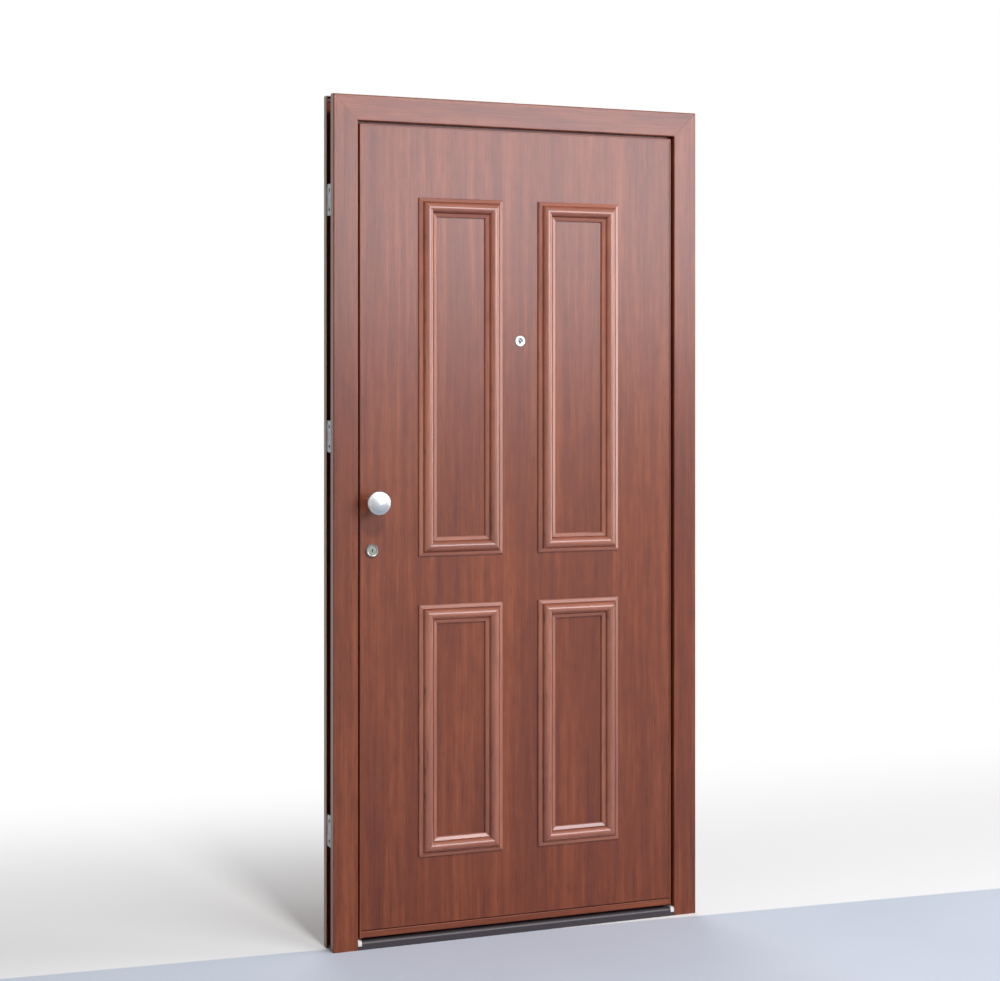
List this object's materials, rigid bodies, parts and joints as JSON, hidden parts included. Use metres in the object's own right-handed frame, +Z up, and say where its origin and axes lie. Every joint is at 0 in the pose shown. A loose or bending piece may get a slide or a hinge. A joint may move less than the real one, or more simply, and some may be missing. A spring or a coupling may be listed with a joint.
{
  "type": "panelled front door",
  "caption": "Panelled walnut-film steel front door with its frame: knob, key cylinder, viewer, raised mouldings, room-side hinges.",
  "frame": {"origin": "On the floor, in the middle of the doorway's width and of the frame's depth; millimetres in the STEP files.", "axes": "+X to the right seen from outside, +Y into the room, +Z up; the pictured face looks along -Y."},
  "size_m": [1.032, 0.198, 2.166],
  "materials": {
    "film_on_steel": "walnut film with a vertical grain on folded steel, satin",
    "panel_film": "walnut film with a vertical grain on board, satin",
    "dark_steel": "dark brown powder coating, satin",
    "pale_plastic": "off-white moulded plastic",
    "seal_rubber": "black rubber seal",
    "plated_steel": "zinc-plated sheet, matt",
    "bright_steel": "ground steel, fine lines along the part",
    "satin_nickel": "satin nickel plating",
    "lens_glass": "clear lens with a dark depth",
    "mineral_wool": "pressed mineral wool slab",
    "pale_aluminium": "mill-finish extrusion"
  },
  "bodies": {
    "frame": {"lock_jamb": "film_on_steel", "hinge_jamb": "film_on_steel", "frame_head": "film_on_steel", "threshold": "dark_steel", "threshold_caps": "pale_plastic", "seal_lock_side": "seal_rubber", "seal_hinge_side": "seal_rubber", "seal_head": "seal_rubber", "strike_plate": "bright_steel", "head_rod_keep": "plated_steel", "floor_rod_keep": "plated_steel", "wall_anchors": "plated_steel", "upper_hinge_frame_half": "dark_steel", "lower_hinge_frame_half": "dark_steel", "upper_hinge_pin": "bright_steel", "lower_hinge_pin": "bright_steel"},
    "leaf": {"outer_skin": "plated_steel", "inner_skin": "plated_steel", "stiffener_lock_side": "plated_steel", "stiffener_centre": "plated_steel", "stiffener_hinge_side": "plated_steel", "insulation": "mineral_wool", "lock_edge_trim": "film_on_steel", "hinge_edge_trim": "film_on_steel", "top_edge_trim": "film_on_steel", "bottom_edge_trim": "film_on_steel", "outer_panel": "panel_film", "upper_left_moulding": "panel_film", "upper_right_moulding": "panel_film", "lower_left_moulding": "panel_film", "lower_right_moulding": "panel_film", "inner_panel": "panel_film", "viewer_front_tube": "satin_nickel", "viewer_lens": "lens_glass", "viewer_back_sleeve": "satin_nickel", "outer_rosette": "satin_nickel", "outer_knob": "satin_nickel", "inner_rosette": "satin_nickel", "key_ring": "satin_nickel", "cylinder_body": "satin_nickel", "thumbturn_rosette": "satin_nickel", "lock_case": "plated_steel", "lock_faceplate": "bright_steel", "dog_bolts": "bright_steel", "drop_seal_case": "pale_aluminium", "upper_hinge_leaf_half": "dark_steel", "lower_hinge_leaf_half": "dark_steel"},
    "inner_knob_set": {"inner_knob": "satin_nickel", "knob_spindle": "bright_steel", "lock_follower": "bright_steel"},
    "latch": {"latch_bolt": "bright_steel"},
    "bolts": {"deadbolts": "bright_steel", "bolt_carriage": "plated_steel"},
    "rod_to_head": {"upper_rod": "bright_steel"},
    "rod_to_floor": {"lower_rod": "bright_steel"},
    "cylinder_plug": {"key_plug": "satin_nickel"},
    "thumbturn_set": {"thumbturn": "satin_nickel", "lock_cam": "bright_steel"},
    "peephole_cover": {"viewer_cover": "satin_nickel"},
    "seal_strip": {"drop_seal": "seal_rubber"}
  },
  "joints": [
    {"name": "leaf_swing", "type": "hinge", "parent": "frame", "child": "leaf", "pos_m": [0.482, 0.049, 0], "axis": [0, 0, -1], "range_deg": [0, 95]},
    {"name": "inner_knob_turn", "type": "hinge", "parent": "leaf", "child": "inner_knob_set", "pos_m": [-0.411, 0, 1.133], "axis": [0, 1, 0], "range_deg": [0, 50]},
    {"name": "latch_slide", "type": "slide", "parent": "leaf", "child": "latch", "axis": [-1, 0, 0], "range_m": [0, 0.014]},
    {"name": "thumbturn_turn", "type": "hinge", "parent": "leaf", "child": "thumbturn_set", "pos_m": [-0.411, 0, 1.01], "axis": [0, 1, 0], "range_deg": [0, 720]},
    {"name": "cylinder_plug_turn", "type": "hinge", "parent": "leaf", "child": "cylinder_plug", "pos_m": [-0.411, 0, 1.01], "axis": [0, 1, 0], "range_deg": [0, 720]},
    {"name": "deadbolt_throw", "type": "slide", "parent": "leaf", "child": "bolts", "axis": [-1, 0, 0], "range_m": [0, 0.028]},
    {"name": "upper_rod_shoot", "type": "slide", "parent": "leaf", "child": "rod_to_head", "axis": [0, 0, 1], "range_m": [0, 0.016]},
    {"name": "lower_rod_shoot", "type": "slide", "parent": "leaf", "child": "rod_to_floor", "axis": [0, 0, -1], "range_m": [0, 0.016]},
    {"name": "peephole_cover_swing", "type": "hinge", "parent": "leaf", "child": "peephole_cover", "pos_m": [0, 0, 1.555], "axis": [0, 1, 0], "range_deg": [0, 110]},
    {"name": "drop_seal_rise", "type": "slide", "parent": "leaf", "child": "seal_strip", "axis": [0, 0, 1], "range_m": [0, 0.0045]}
  ],
  "couplings": [
    {"joint": "latch_slide", "follows": "inner_knob_turn", "m_per_rad": 0.016031},
    {"joint": "thumbturn_turn", "follows": "deadbolt_throw", "rad_per_m": 448.67},
    {"joint": "cylinder_plug_turn", "follows": "deadbolt_throw", "rad_per_m": 448.67},
    {"joint": "upper_rod_shoot", "follows": "deadbolt_throw", "ratio": 0.57107},
    {"joint": "lower_rod_shoot", "follows": "deadbolt_throw", "ratio": 0.57107}
  ]
}
